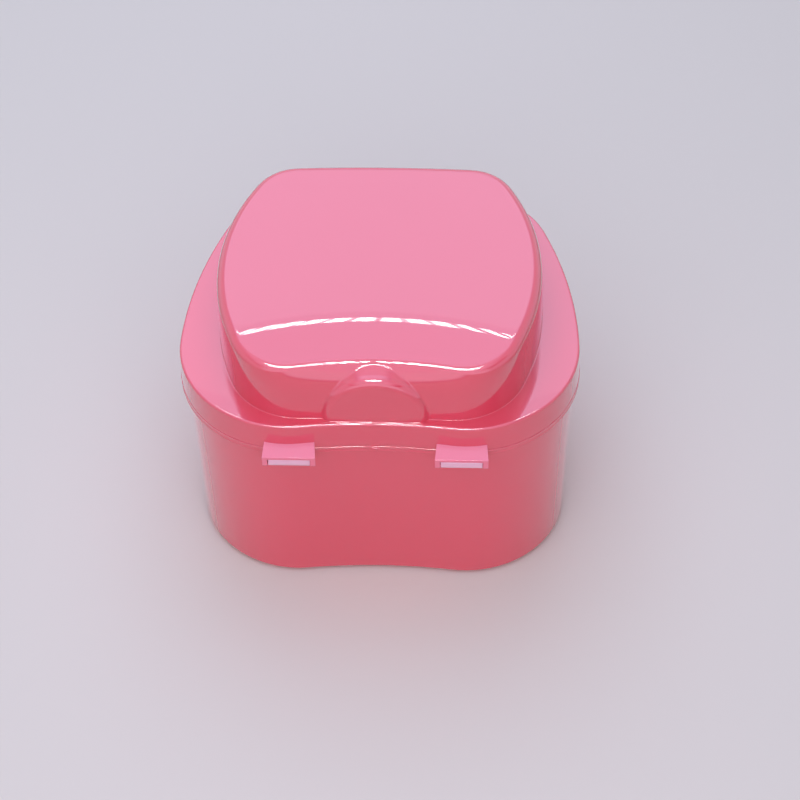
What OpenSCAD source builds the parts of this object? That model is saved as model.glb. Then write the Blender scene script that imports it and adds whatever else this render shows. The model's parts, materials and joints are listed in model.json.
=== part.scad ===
// Denture case: a cup with a domed lid on two snap hinges, and a strainer basket that hangs inside.
// The hinges are at the hollow side of the plan, which faces -Y. All sizes are in millimetres.

/* [Plan of the rim] */
// Width of the lid's rim
rim_w = 92; // [88:0.5:98]
// Depth of the lid's rim, from its two front lobes to its back
rim_d = 80.5; // [78:0.5:86]
// Radius of the rim's bulging sides
rim_side_r = 104; // [95:1:120]
// Radius of the rim's back
rim_back_r = 71; // [64:1:90]
// Radius of the rim's two back corners
rim_corner_r = 20.5; // [17:0.5:23]
// Radius of the rim's two front lobes
rim_lobe_r = 26; // [22:0.5:27]
// Radius of the hollow between the front lobes
rim_hollow_r = 141; // [100:1:200]
// How far in front of the middle the rim is widest
rim_widest = 16; // [12:0.5:18]

/* [Cup] */
// Height of the band that the lid closes down on
band_top = 47.25; // [42:0.05:48]
// Thickness of that band
band_t = 1.5; // [1:0.1:3]
// How far the cup's outer wall lies inside the rim, just under the band
wall_in_top = 1.1; // [0.8:0.1:1.6]
// How far the cup's outer wall lies inside the rim, at the table
wall_in_bottom = 2.1; // [1.8:0.1:4]
// Wall of the cup, at its mouth
cup_wall = 1.5; // [1.3:0.1:2]
// Wall of the cup, at its floor
cup_wall_low = 1.8; // [1.5:0.1:2.5]
// Thickness of the cup's floor
floor_t = 1.8; // [1.2:0.1:3]
// Radius of the cup's bottom edge
foot_r = 1.8; // [1:0.1:2.5]
// Radius inside the cup, between wall and floor
cup_inner_r = 3; // [2:0.5:5]
// Height of the hollow under the floor
foot_recess = 0.8; // [0.4:0.1:1]
// Width of the foot that the cup stands on
foot_w = 4; // [3:0.5:6]

/* [Lid] */
// Depth of the skirt round the lid
skirt_h = 7.1; // [6:0.1:9]
// Thickness of the skirt
skirt_t = 1.3; // [1:0.1:1.6]
// How much wider the skirt is at its lower edge, on each side
flare = 0.3; // [0:0.05:0.4]
// Thickness of the lid's plate and dome
lid_t = 1.6; // [1.2:0.1:2]
// Height of the dome above the lid's plate
dome_h = 16; // [14.5:0.25:20]
// Width of the dome where it meets the plate
dome_w = 74.9; // [72:0.1:77]
// How far behind the middle the dome's back lies
dome_back = 29.85; // [28:0.05:32]
// How far in front of the middle the dome's front lobes lie
dome_front = 37.4; // [36.5:0.1:37.6]
// How much the dome's walls lean in, from plate to top
dome_lean = 0.8; // [0.5:0.1:1.2]
// How much more the front wall leans in
front_lean = 1.4; // [1:0.1:1.8]
// How much of its lean each wall holds back while it rises, so that it bulges
wall_early = 0.8; // [0:0.05:0.9]
// How much more than that it holds back close to its top
wall_late = 2.6; // [0:0.1:3]
// Radius of the dome's sides
dome_side_r = 62; // [58:1:70]
// Radius of the dome's nearly straight back
dome_back_r = 390; // [300:5:500]
// Radius of the dome's two back corners
dome_corner_r = 12; // [10.5:0.5:14]
// Radius of the dome's two front lobes
dome_lobe_r = 16.4; // [15:0.2:17.4]
// Radius of the hollow in the dome's front
dome_hollow_r = 740; // [400:10:1200]
// How far in front of the middle the dome is widest
dome_widest = 3.7; // [2.5:0.1:5]
// Radius of the sides at the dome's top
top_side_r = 55.5; // [52:0.5:60]
// Radius of the front lobes at the dome's top
top_lobe_r = 11.8; // [10:0.2:13]
// How far in front of the middle the dome's top is widest
top_widest = 5.5; // [4.5:0.1:6.5]
// Radius of the hollow in the front of the dome's top
top_hollow_r = 77; // [70:1:100]
// Radius of the edge between the dome's walls and top
dome_edge_r = 1.6; // [1:0.1:2]
// How far in front of the middle the dome's top starts to fall
ramp_start = 18.4; // [15:0.2:22]
// Radius of the line where it starts, seen from above
ramp_line_r = 95; // [80:1:140]
// Length over which the fall grows to its full slope
ramp_blend = 6; // [4:0.5:8]
// Full slope of the fall, in degrees
ramp_angle = 9; // [5:0.5:11]

/* [Half-moon on the lid] */
// Outer radius of the half-moon that makes room for the basket's grip
moon_r = 12; // [10:0.25:12.5]
// Height of its centre above the lid's plate
moon_rise = 0.9; // [0:0.1:1.5]
// How far its face lies behind the rim's hollow
moon_back = 0.8; // [0.3:0.1:1]
// Radius of the edge round its face
moon_edge_r = 2; // [1:0.1:2.2]
// Share by which its radius grows with each millimetre behind that edge
moon_grow = 0.025; // [0:0.005:0.03]
// Wall of the half-moon
moon_wall = 1.3; // [1:0.1:1.5]

/* [Hinges] */
// Distance from the middle to each hinge's middle
hinge_x = 19.4; // [16:0.2:21]
// Width of each hinge, over the lid's two ears
hinge_w = 12; // [10:0.2:13]
// Thickness of each ear
ear_t = 1.15; // [0.8:0.05:1.3]
// How far the hinge axis lies in front of the rim
axis_out = 1.65; // [1.6:0.05:2.4]
// Radius of the cup's knuckle
knuckle_r = 1.5; // [1.35:0.05:1.55]
// Radius of the lid's pin in the knuckle
pin_r = 0.7; // [0.5:0.05:0.8]
// How far the shelf over the knuckle reaches from the rim
shelf_out = 3.5; // [3:0.05:4]
// Thickness of that shelf
shelf_t = 0.75; // [0.6:0.05:1.2]
// How much higher its top is with each millimetre towards the rim
shelf_fall = 0.28; // [0:0.02:0.3]
// Radius of the ears' round ends
ear_r = 1.15; // [1:0.05:1.2]

/* [Thumb lip] */
// Width of the thumb lip at the back of the lid
lip_w = 20; // [14:0.5:30]
// How far the thumb lip stands out
lip_out = 2.85; // [1.5:0.05:4]
// Thickness of the thumb lip
lip_t = 1.3; // [1:0.1:2]

/* [Strainer basket] */
// Gap between the basket's flange and the lid's plate
basket_drop = 2.9; // [2.5:0.1:4]
// Thickness of the basket's walls and flange
basket_t = 1.2; // [1:0.1:1.6]
// Width of the basket's flange, outside its wall
flange_w = 1.9; // [1.7:0.1:3]
// Distance between the cup's floor and the basket's floor
basket_lift = 13.4; // [10:0.2:16]
// How much the basket's walls lean in, from flange to floor
basket_lean = 1.6; // [0.5:0.1:3]
// Radius between the basket's wall and floor
basket_r = 4; // [2:0.5:6]
// Rows of slots in the basket's wall
slot_rows = 2; // [1:1:4]
// Width of the slots
slot_w = 2.2; // [1.5:0.1:3]
// Height of the solid bands over, between and under the slots
slot_band = 3; // [2:0.5:5]
// Gap between the grip and the pocket of the half-moon over it
grip_gap = 1.4; // [1.2:0.05:2]
// How far the grip's finger ridges stand out
ridge_out = 0.6; // [0.4:0.1:0.8]
// Thickness of the grip
grip_t = 1.5; // [1.2:0.1:2]
// Width of the ribs in the cup that carry the basket
rib_w = 2.4; // [1.5:0.1:4]
// How far those ribs reach under the flange
rib_reach = 1.5; // [1.2:0.1:1.6]

/* [Clearances] */
// Gap between the cup's neck and the lid's skirt
neck_gap = 0.4; // [0.35:0.05:0.6]
// Gap between the lid's lower edge and the cup's band
close_gap = 0.15; // [0.1:0.05:0.3]
// Gap between the cup's mouth and the lid's plate
mouth_gap = 0.3; // [0.2:0.05:0.6]
// Gap round the basket's flange in the cup's mouth
basket_gap = 0.4; // [0.3:0.05:0.8]
// Gap between the basket's flange and its ribs
seat_gap = 0.2; // [0.1:0.05:0.4]
// Running gap round each hinge pin
pin_gap = 0.05; // [0.03:0.01:0.08]
// Gap beside and above each knuckle
knuckle_gap = 0.15; // [0.1:0.05:0.25]

/* [Hidden] */
$fn = 48;
plastic = "#e98aa8";
basket_plastic = "#f4f1f2";
// Small overlap where two solids of one piece join
join = 0.3;
// Rounding of thin rims and of the band's edges
soft = 0.25;

// Heights, from the table up
lid_low = band_top + close_gap;
plate_top = lid_low + skirt_h;
plate_low = plate_top - lid_t;
mouth_z = plate_low - mouth_gap;
dome_top = plate_top + dome_h;
flange_top = plate_low - basket_drop;
flange_low = flange_top - basket_t;
rib_top = flange_low - seat_gap;
basket_low = floor_t + foot_recess + basket_lift;
pocket_r = moon_r - moon_wall;

// Hinge axis, with the rim's middle at the origin of the plan
axis_y = -(rim_d / 2 + axis_out);
shelf_low = lid_low;
axis_z = shelf_low - knuckle_gap - knuckle_r;
shelf_y = -(rim_d / 2 + shelf_out);
knuckle_w = hinge_w - 2 * ear_t - 2 * knuckle_gap;

// The plan is moved so that the whole case is centred on the origin
back_reach = rim_d / 2 + flare + lip_out;
front_reach = max(-shelf_y, -axis_y + knuckle_r);
shift_y = (front_reach - back_reach) / 2;

// Insets from the rim's outline
neck_in = skirt_t + neck_gap;
mouth_in = neck_in + cup_wall;
flange_in = mouth_in + basket_gap;
basket_in = flange_in + flange_w;

// Steps along each arc of the right half of an outline, from the back to the front
STEPS = [4, 8, 10, 9, 5];
HALF = STEPS[0] + STEPS[1] + STEPS[2] + STEPS[3] + STEPS[4];
COUNT = 2 * HALF;

// An outline is [width, back, front, side_r, back_r, corner_r, lobe_r, widest, hollow_r]
RIM = [rim_w, rim_d / 2, rim_d / 2, rim_side_r, rim_back_r, rim_corner_r, rim_lobe_r,
       rim_widest, rim_hollow_r];
DOME_LOW = [dome_w, dome_back, dome_front, dome_side_r, dome_back_r, dome_corner_r, dome_lobe_r,
            dome_widest, dome_hollow_r];
DOME_HIGH = [dome_w - 2 * dome_lean, dome_back - dome_lean, dome_front - dome_lean - front_lean,
             top_side_r, dome_back_r - dome_lean, dome_corner_r - dome_lean, top_lobe_r,
             top_widest, top_hollow_r];

// Direction of a vector, clockwise from +Y, and a point in such a direction
function bearing(v) = atan2(v[0], v[1]);
function polar(centre, r, a) = [centre[0] + r * sin(a), centre[1] + r * cos(a)];

// Where two circles meet, on the side with the larger X
function meet(a, ra, b, rb) =
    let (v = b - a, d = norm(v), along = (ra * ra - rb * rb + d * d) / (2 * d),
         off = sqrt(ra * ra - along * along), e = v / d)
    e[1] > 0 ? a + e * along + [e[1], -e[0]] * off : a + e * along - [e[1], -e[0]] * off;

// Centres of the arcs for the back, corner, side, lobe and hollow, each tangent to the next
function centres(s) =
    let (back = [0, s[1] - s[4]], side = [s[0] / 2 - s[3], -s[7]], lobe_y = s[6] - s[2],
         lobe = [side[0] + sqrt(pow(s[3] - s[6], 2) - pow(lobe_y + s[7], 2)), lobe_y],
         hollow = [0, lobe_y - sqrt(pow(s[8] + s[6], 2) - pow(lobe[0], 2))])
    [back, meet(back, s[4] - s[5], side, s[3] - s[5]), side, lobe, hollow];

// Bearings at which one arc hands over to the next
function turns(c) = [0, bearing(c[1] - c[0]), bearing(c[1] - c[2]), 180 - bearing([c[3][0] - c[2][0],
    c[2][1] - c[3][1]]), 180 + bearing(c[3] - c[4])];

// Points of one arc; the hollow's arc runs the other way round its centre
function arc(centre, r, from, to, steps) =
    [for (i = [0 : steps - 1]) polar(centre, r, from + (to - from) * i / steps)];

// Right half of an outline, moved inwards by an inset, from the back's middle to the front's
function right_half(s, inset) =
    let (c = centres(s), t = turns(c), dip = bearing(c[3] - c[4]))
    concat(arc(c[0], s[4] - inset, 0, t[1], STEPS[0]),
           arc(c[1], s[5] - inset, t[1], t[2], STEPS[1]),
           arc(c[2], s[3] - inset, t[2], t[3], STEPS[2]),
           arc(c[3], s[6] - inset, t[3], t[4], STEPS[3]),
           arc(c[4], s[8] + inset, dip, 0, STEPS[4]),
           [polar(c[4], s[8] + inset, 0)]);

// Whole outline as COUNT points, clockwise from the back's middle
function outline(s, inset = 0) =
    let (half = right_half(s, inset))
    [for (i = [0 : COUNT - 1]) i <= HALF ? half[i] : [-half[COUNT - i][0], half[COUNT - i][1]]];

// Share of its lean that the dome's wall has taken at a share of its height
function come_in(t) = t - t * (1 - t) * (wall_early + wall_late * t * t);

// Rings of 3-D points: at one height, or shrunk towards the middle
function ring(s, inset, z) = [for (p = outline(s, inset)) [p[0], p[1], z]];
function shrink(points, share) = [for (p = points) [p[0] * share, p[1] * share]];

// Blend of the dome's low and high outlines
function dome_outline(share, inset) =
    let (a = outline(DOME_LOW, inset), b = outline(DOME_HIGH, inset))
    [for (i = [0 : COUNT - 1]) a[i] * (1 - share) + b[i] * share];

// How far the dome's top has fallen at a point of the plan
ramp_centre_y = -(ramp_start + ramp_line_r);
function ramp(p) =
    let (s = max(0, ramp_line_r - norm([p[0], p[1] - ramp_centre_y])), g = tan(ramp_angle))
    s < ramp_blend ? g * s * s / (2 * ramp_blend) : g * (s - ramp_blend / 2);

// Inset and height along a quarter round between a floor and a wall that rises from it
function quarter(r, steps) = [for (i = [0 : steps]) [r * (1 - sin(90 * i / steps)),
    r * (1 - cos(90 * i / steps))]];

// Closed solid through a list of rings, from a centre point to a centre point
module loft(first, rings, last) {
    n = len(rings);
    points = concat([first], [for (r = rings) each r], [last]);
    function at(k, i) = 1 + k * COUNT + i % COUNT;
    polyhedron(points, concat(
        [for (i = [0 : COUNT - 1]) [0, at(0, i + 1), at(0, i)]],
        [for (k = [0 : n - 2], i = [0 : COUNT - 1], half = [0, 1]) half == 0
            ? [at(k, i), at(k + 1, i + 1), at(k + 1, i)]
            : [at(k, i), at(k, i + 1), at(k + 1, i + 1)]],
        [for (i = [0 : COUNT - 1]) [1 + n * COUNT, at(n - 1, i), at(n - 1, i + 1)]]));
}

// Rings of the cup, from the middle of its underside, up the outside and down the inside
function cup_rings() =
    let (low_in = mouth_in + cup_wall_low - cup_wall + wall_in_bottom - wall_in_top,
         band_low = band_top - band_t)
    concat([ring(RIM, wall_in_bottom + foot_r + foot_w + foot_recess, foot_recess),
            ring(RIM, wall_in_bottom + foot_r + foot_w, 0)],
           [for (q = quarter(foot_r, 4)) ring(RIM, wall_in_bottom + q[0], q[1])],
           [ring(RIM, wall_in_top, band_low),
            ring(RIM, soft - flare, band_low),
            ring(RIM, -flare, band_low + soft),
            ring(RIM, -flare, band_top - soft),
            ring(RIM, soft - flare, band_top),
            ring(RIM, neck_in, band_top),
            ring(RIM, neck_in, mouth_z - soft),
            ring(RIM, neck_in + soft, mouth_z),
            ring(RIM, mouth_in - soft, mouth_z),
            ring(RIM, mouth_in, mouth_z - soft)],
           [for (i = [4 : -1 : 0], q = [quarter(cup_inner_r, 4)[i]])
               ring(RIM, low_in + q[0], floor_t + foot_recess + q[1])]);

// Rings of the lid, from the middle of its dome's inside, down the inside and up the outside
function lid_rings() =
    let (shares = [0.4, 0.6, 0.7, 0.8, 0.9], r = dome_edge_r)
    concat([for (t = shares) dome_skin(1, lid_t, t, dome_top - lid_t)],
           [dome_skin(1, lid_t, 1, dome_top - lid_t),
            [for (p = dome_outline(0, lid_t)) [p[0], p[1], plate_low]],
            ring(RIM, skirt_t, plate_low),
            ring(RIM, skirt_t - flare, lid_low),
            ring(RIM, -flare, lid_low),
            ring(RIM, 0, plate_top - 0.8),
            ring(RIM, 0.23, plate_top - 0.23),
            ring(RIM, 0.8, plate_top)],
           [[for (p = dome_outline(0, -0.5)) [p[0], p[1], plate_top]]],
           [for (t = [0.04, 0.25, 0.5, 0.68, 0.82, 0.93]) dome_wall(t)],
           [for (a = [45 : 22.5 : 90]) dome_edge(a, r)],
           [for (i = [len(shares) - 1 : -1 : 0]) dome_skin(1, r, shares[i], dome_top)]);

// A ring on the dome's falling top, shrunk to a share of its size
function dome_skin(blend, inset, share, top) =
    [for (p = shrink(dome_outline(blend, inset), share)) [p[0], p[1], top - ramp(p)]];

// A ring on the dome's outer wall, at a share of its height
function dome_wall(t) =
    let (on = dome_outline(come_in(t), 0), top = dome_outline(1, 0))
    [for (i = [0 : COUNT - 1])
        [on[i][0], on[i][1], plate_top + t * (dome_top - ramp(top[i]) - plate_top)]];

// A ring on the round edge between the dome's wall and top
function dome_edge(a, r) =
    let (foot = dome_outline(1, 0), on = dome_outline(1, r * (1 - cos(a))))
    [for (i = [0 : COUNT - 1]) [on[i][0], on[i][1], dome_top - ramp(foot[i]) - r * (1 - sin(a))]];

// Middle of the rim's and the basket's outline at the front, where the hollow is deepest
hollow_y = right_half(RIM, 0)[HALF][1];
moon_y = hollow_y + moon_back;
moon_z = plate_top + moon_rise;
top_hollow_y = right_half(DOME_HIGH, 0)[HALF][1];

// Circle round the Y axis
function hoop(r, y) =
    [for (i = [0 : COUNT - 1]) [-r * sin(360 * i / COUNT), y, r * cos(360 * i / COUNT)]];

// Round bar along Y with its front face at y = 0, a rounded front edge and its own radius behind
module moon_bar(r, edge, length, end_r) {
    loft([0, 0, 0],
        concat([for (a = [0 : 22.5 : 90]) hoop(r - edge + edge * sin(a), edge - edge * cos(a))],
               [hoop(end_r, length)]),
        [0, length, 0]);
}

// What lies above a height
module above(z) {
    intersection() {
        translate([-rim_w, -rim_d, z]) cube([2 * rim_w, 2 * rim_d, 2 * dome_top]);
        children();
    }
}

// One ear-and-shelf bracket of the lid, without its pin
module bracket() {
    depth = -shelf_y + axis_y;
    under = shelf_out + skirt_t / 2;
    difference() {
        intersection() {
            rotate([90, 0, 90]) linear_extrude(hinge_w, center = true) union() {
                translate([axis_y, axis_z]) circle(r = ear_r);
                translate([shelf_y, axis_z]) square([depth + ear_r - 0.2, shelf_low - axis_z + join]);
                polygon([[shelf_y, shelf_low], [shelf_y + under, shelf_low],
                    [shelf_y + under, shelf_low + shelf_t + shelf_fall * under],
                    [shelf_y, shelf_low + shelf_t]]);
            }
            rotate([90, 0, 0]) linear_extrude(rim_d) hull() {
                for (s = [-1, 1]) {
                    translate([s * (hinge_w / 2 - ear_t), axis_z - ear_r + ear_t]) circle(r = ear_t);
                    translate([s * (hinge_w / 2 - ear_t), shelf_low + shelf_t]) circle(r = ear_t);
                }
            }
        }
        translate([-hinge_w / 2 + ear_t, shelf_y - join, axis_z - 2 * ear_r])
            cube([hinge_w - 2 * ear_t, shelf_out + rim_d, shelf_low - axis_z + 2 * ear_r]);
    }
}

// One knuckle on the cup, with a bore for the pin and a slot under it that the pin snaps through
module knuckle() {
    root = band_top - axis_z;
    snap_w = 1.6 * pin_r;
    rotate([90, 0, 90]) linear_extrude(knuckle_w, center = true) difference() {
        union() {
            translate([axis_y, axis_z]) circle(r = knuckle_r);
            translate([axis_y, axis_z - knuckle_r]) square([axis_out + wall_in_top + join,
                knuckle_r + root]);
        }
        translate([axis_y, axis_z]) circle(r = pin_r + pin_gap);
        translate([axis_y - snap_w / 2, axis_z - 2 * knuckle_r]) square([snap_w, 2 * knuckle_r]);
    }
}

// One rib in the cup, at a point of the outline
module rib(i) {
    foot = outline(RIM)[i];
    inward = outline(RIM, 1)[i] - foot;
    start = wall_in_bottom + 0.5;
    translate([foot[0], foot[1], floor_t]) rotate(atan2(inward[1], inward[0]))
        translate([start, -rib_w / 2, 0])
            cube([flange_in + rib_reach - start, rib_w, rib_top - floor_t]);
}

module cup() {
    color(plastic) translate([0, shift_y, 0]) union() {
        loft([0, 0, foot_recess], cup_rings(), [0, 0, floor_t + foot_recess]);
        for (i = [5, 17, 29], j = [i, COUNT - i]) rib(j);
        for (s = [-1, 1]) translate([s * hinge_x, 0, 0]) knuckle();
    }
}

// Thumb lip, with its middle on the back's middle and round corners
module thumb_lip() {
    corner = lip_out / 2;
    back_centre = rim_d / 2 - rim_back_r;
    reach = rim_back_r + flare + lip_out;
    intersection() {
        translate([0, back_centre, lid_low]) cylinder(r = reach, h = lip_t, $fn = 96);
        translate([0, rim_d / 2 - skirt_t / 2, lid_low]) linear_extrude(lip_t) union() {
            translate([-lip_w / 2, 0]) square([lip_w, skirt_t / 2 + flare + corner]);
            translate([corner - lip_w / 2, 0]) square([lip_w - 2 * corner, 2 * lip_out]);
            for (s = [-1, 1]) translate([s * (lip_w / 2 - corner), skirt_t / 2 + flare + corner - 0.4])
                circle(r = corner);
        }
    }
}

module lid() {
    bar = top_hollow_y + lid_t / 2 - moon_y;
    pocket_edge = max(0.3, moon_edge_r - moon_wall);
    color(plastic) translate([0, shift_y, 0]) union() {
        difference() {
            union() {
                loft([0, 0, dome_top - lid_t], lid_rings(), [0, 0, dome_top]);
                above(plate_top - lid_t / 2) translate([0, moon_y, moon_z])
                    moon_bar(moon_r, moon_edge_r, bar, moon_r * (1 + moon_grow * (bar - moon_edge_r)));
            }
            above(plate_low - 1) translate([0, moon_y + moon_wall, moon_z])
                moon_bar(pocket_r, pocket_edge, 12, pocket_r);
        }
        thumb_lip();
        for (s = [-1, 1]) translate([s * hinge_x, 0, 0]) {
            bracket();
            translate([0, axis_y, axis_z]) rotate([0, 90, 0])
                cylinder(r = pin_r, h = hinge_w - ear_t, center = true);
        }
    }
}

// Rings of the basket, from the middle of its underside, up the outside and down the inside
function basket_rings() =
    let (low_in = basket_in + basket_lean, inner_r = basket_r - basket_t / 2)
    concat([for (q = quarter(basket_r, 3)) ring(RIM, low_in + q[0], basket_low + q[1])],
           [ring(RIM, basket_in, flange_low),
            ring(RIM, flange_in, flange_low),
            ring(RIM, flange_in, flange_top - soft),
            ring(RIM, flange_in + soft, flange_top),
            ring(RIM, basket_in + basket_t, flange_top)],
           [for (i = [3 : -1 : 0], q = [quarter(inner_r, 3)[i]])
               ring(RIM, low_in + basket_t + q[0], basket_low + basket_t + q[1])]);

// One row of slots, through every second point of the basket's outline
module slot_row(height) {
    edge = outline(RIM, basket_in);
    deep = outline(RIM, basket_in + 1);
    linear_extrude(height) for (i = [1 : 2 : COUNT - 1]) {
        inward = deep[i] - edge[i];
        translate(edge[i]) rotate(atan2(inward[1], inward[0]))
            translate([-1, -slot_w / 2]) square([basket_t + basket_lean + 2, slot_w]);
    }
}

// Slots in the basket's floor, side by side
module floor_slots(height) {
    linear_extrude(height) for (i = [-3 : 3]) translate([8 * i, 0]) {
        reach = i == 0 || abs(i) == 1 ? 20 : abs(i) == 2 ? 18 : 14;
        square([slot_w, 2 * reach], center = true);
    }
}

module strainer_basket() {
    slots_low = basket_low + basket_r + 1;
    row_h = (flange_low - slots_low - slot_band * slot_rows) / slot_rows;
    grip_r = pocket_r - grip_gap;
    grip_y = hollow_y + flange_in + 0.15;
    color(basket_plastic) translate([0, shift_y, 0]) union() {
        difference() {
            loft([0, 0, basket_low], basket_rings(), [0, 0, basket_low + basket_t]);
            for (i = [0 : slot_rows - 1]) translate([0, 0, slots_low + i * (row_h + slot_band)])
                slot_row(row_h);
            translate([0, 0, basket_low - 1]) floor_slots(basket_t + 2);
        }
        translate([0, grip_y + grip_t, 0]) rotate([90, 0, 0]) linear_extrude(grip_t) difference() {
            union() {
                translate([0, moon_z]) circle(r = grip_r);
                translate([-grip_r, flange_top - join])
                    square([2 * grip_r, moon_z - flange_top + join]);
            }
            translate([-grip_r - 1, moon_z - 2 * grip_r]) square([2 * grip_r + 2,
                2 * grip_r - moon_z + flange_top - join]);
        }
        for (i = [0 : 2]) translate([-grip_r / 2, grip_y + grip_t - join, moon_z + 2 * i])
            cube([grip_r, ridge_out + join, 0.8]);
    }
}

cup();
strainer_basket();
lid();
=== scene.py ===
"""Pink denture case: smooth shells, hinges and basket in the CAD frame, inside a light tent."""
import json
import math

import bmesh
import bpy
import numpy as np
from mathutils import Matrix, Vector


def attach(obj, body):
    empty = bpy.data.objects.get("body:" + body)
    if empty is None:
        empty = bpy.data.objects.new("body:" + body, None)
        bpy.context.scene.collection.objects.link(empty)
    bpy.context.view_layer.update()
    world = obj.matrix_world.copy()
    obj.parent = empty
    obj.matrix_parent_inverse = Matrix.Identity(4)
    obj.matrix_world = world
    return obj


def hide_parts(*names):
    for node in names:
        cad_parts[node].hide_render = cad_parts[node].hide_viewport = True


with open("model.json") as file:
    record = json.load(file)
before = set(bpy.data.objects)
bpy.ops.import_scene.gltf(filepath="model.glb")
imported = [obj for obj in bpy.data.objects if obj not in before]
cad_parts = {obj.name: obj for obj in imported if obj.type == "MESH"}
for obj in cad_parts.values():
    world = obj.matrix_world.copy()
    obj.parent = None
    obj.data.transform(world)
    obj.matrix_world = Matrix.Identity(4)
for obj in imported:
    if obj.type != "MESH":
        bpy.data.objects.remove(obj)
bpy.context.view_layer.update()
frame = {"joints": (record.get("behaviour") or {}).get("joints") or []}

MM = 0.001

# sizes, in millimetres
# The rim's middle is at plan (0, 0) here; SHIFT_Y moves everything into the frame.
RIM = dict(width=92.0, back=40.25, front=40.25, side_r=104.0, back_r=71.0, corner_r=20.5,
           lobe_r=26.0, widest=16.0, hollow_r=141.0)
DOME_FOOT = dict(width=74.9, back=29.85, front=37.4, side_r=62.0, back_r=390.0, corner_r=12.0,
                 lobe_r=16.4, widest=3.7, hollow_r=740.0)
DOME_CREST = dict(width=73.3, back=29.05, front=35.2, side_r=55.5, back_r=389.2, corner_r=11.2,
                  lobe_r=11.8, widest=5.5, hollow_r=77.0)

BAND_TOP, BAND_T, BEAD = 47.36, 1.6, 0.1
BEAD_LOW_H, BEAD_TOP_H, BEAD_RAMP = 0.24, 0.26, 0.16
NIB_HALF_W, NIB_H, NIB_OUT, NIB_EDGE_R = 1.0, 0.75, 0.35, 0.2
WALL_IN_TOP, WALL_IN_LOW = 1.1, 2.1
FOOT_R, FOOT_W, FOOT_RECESS = 1.8, 4.0, 0.8
FLOOR_TOP = 2.6
CUP_INNER_R = 3.0
MOUTH_Z = 52.6
NECK_IN, MOUTH_IN, MOUTH_IN_LOW = 1.7, 3.2, 4.5
FOOT_EDGE_R, BAND_LOW_R, BAND_TOP_R, MOUTH_R, CUP_FILLET_R = 0.5, 0.14, 0.16, 0.35, 0.2

LID_LOW, PLATE_LOW, PLATE_TOP, DOME_TOP = 47.4, 52.9, 54.5, 70.5
SKIRT_T, FLARE, LID_T = 1.3, 0.3, 1.6
RIM_EDGE_R, SKIRT_IN_R, SKIRT_OUT_R = 0.5, 0.15, 0.07
DOME_EDGE_R, DOME_FOOT_R = 2.3, 0.1
RAMP_START, RAMP_LINE_R, RAMP_BLEND = 18.4, 95.0, 6.0
RAMP_SLOPE = math.tan(math.radians(9.0))
WALL_EARLY, WALL_LATE = 0.8, 2.6
CROWN_SLOPE = math.tan(math.radians(1.6))
CROWN_GAP, CROWN_BLEND = 0.5, 6.0

MOON_R, MOON_WALL = 12.0, 1.3
MOON_Z = PLATE_TOP + 0.9
MOON_BACK = 0.8
MOON_EDGE_R, MOON_FOOT_R, MOON_FILLET_R = 2.0, 0.15, 0.45
MOON_GROW = 0.025

HINGE_X, HINGE_W, EAR_T, EAR_R = 19.4, 12.0, 1.15, 1.15
AXIS_Y, AXIS_Z = -41.9, 45.75
KNUCKLE_R, PIN_R, PIN_GAP, KNUCKLE_GAP, CLIP_SHARE = 1.5, 0.7, 0.05, 0.15, 0.8
BRACKET_EDGE_R, KNUCKLE_EDGE_R, PIN_EDGE_R, PIN_SHORT = 0.34, 0.35, 0.05, 0.4
SHELF_Y, SHELF_T, SHELF_NARROW, SHELF_FALL = -43.75, 0.75, 0.06, 0.28
SHELF_END_Y, KNUCKLE_END_Y = -39.4, -38.6

LIP_W, LIP_OUT, LIP_T, LIP_ROOT_Y, LIP_EDGE_R = 20.0, 2.83, 1.3, 38.3, 0.4

FLANGE_TOP, FLANGE_LOW = 50.0, 48.8
FLANGE_IN, BASKET_IN, BASKET_LEAN, BASKET_T, BASKET_R = 3.6, 5.5, 1.6, 1.2, 4.0
BASKET_LOW = 16.0
FLANGE_LOW_R, FLANGE_TOP_R, FLANGE_IN_R, FLANGE_FILLET_R = 0.2, 0.35, 0.5, 0.4
SLOT_ROWS, SLOT_BAND, SLOT_W = 2, 3.0, 2.2
FLOOR_SLOT_PITCH, FLOOR_SLOT_REACH = 8, (20, 20, 18, 14)
GRIP_GAP, GRIP_T, GRIP_SET_BACK, GRIP_EDGE_R, RIDGE_EDGE_R = 1.4, 1.5, 0.15, 0.4, 0.25
RIDGE_COUNT, RIDGE_PITCH, RIDGE_OUT, RIDGE_H = 3, 2, 0.6, 0.8
RIB_TOP, RIB_W, RIB_REACH, RIB_EDGE_R, RIB_MARKS = 48.6, 2.4, 1.5, 0.35, (5, 17, 29)

axis = frame["joints"][0]["pos_m"]
SHIFT_Y = axis[1] / MM - AXIS_Y


# plan outlines
def bearing(v):
    return math.atan2(v[0], v[1])


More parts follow.
